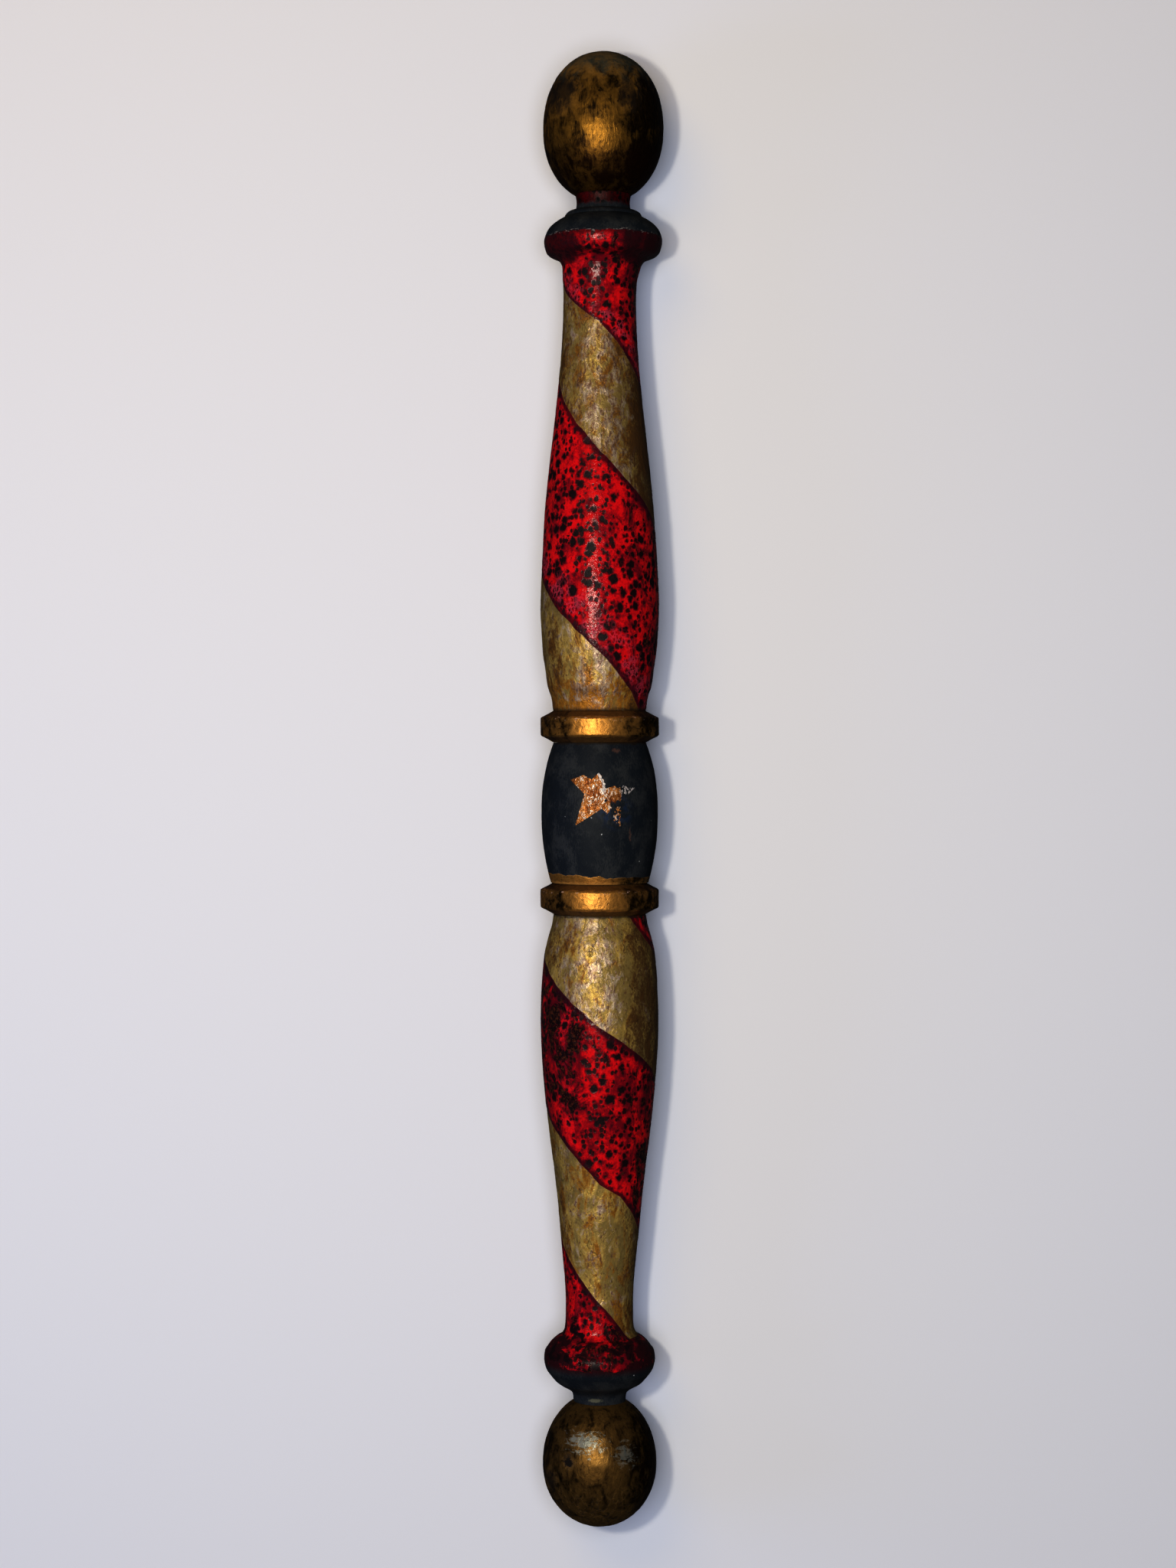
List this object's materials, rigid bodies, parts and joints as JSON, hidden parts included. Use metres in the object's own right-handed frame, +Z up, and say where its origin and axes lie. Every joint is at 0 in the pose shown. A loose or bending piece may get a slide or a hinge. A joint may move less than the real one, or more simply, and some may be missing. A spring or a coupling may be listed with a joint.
{
  "type": "juggling club",
  "caption": "Turned and painted wooden juggling club, spiral red and gold shafts on either side of a black barrel with a gold star, ball ends, rings and beads.",
  "frame": {"origin": "on the surface that the club lies on, under the middle of its length", "axes": "+X along the club's axis towards the oval ball, +Z up, out of the middle of the star"},
  "size_m": [0.6096, 0.0498, 0.0498],
  "materials": {
    "antique_gold": "worn antique gold paint over dark brown, on turned wood",
    "striped_paint": "glossy mottled red with a wide spiral stripe of worn gold, on turned wood",
    "red_paint": "glossy mottled red over black, on turned wood",
    "black_paint": "scuffed blue-black paint on turned wood",
    "gold_leaf": "wrinkled, half worn-off leaf",
    "bare_wood": "bare straight-grained hardwood"
  },
  "bodies": {
    "root": {"round_ball": "antique_gold", "lower_neck": "black_paint", "lower_bead": "black_paint", "lower_shaft": "striped_paint", "lower_ring": "antique_gold", "barrel": "black_paint", "upper_ring": "antique_gold", "upper_shaft": "striped_paint", "upper_collar": "red_paint", "neck_step": "black_paint", "upper_neck": "red_paint", "oval_ball": "antique_gold", "core_dowel": "bare_wood", "star": "gold_leaf"}
  },
  "joints": []
}
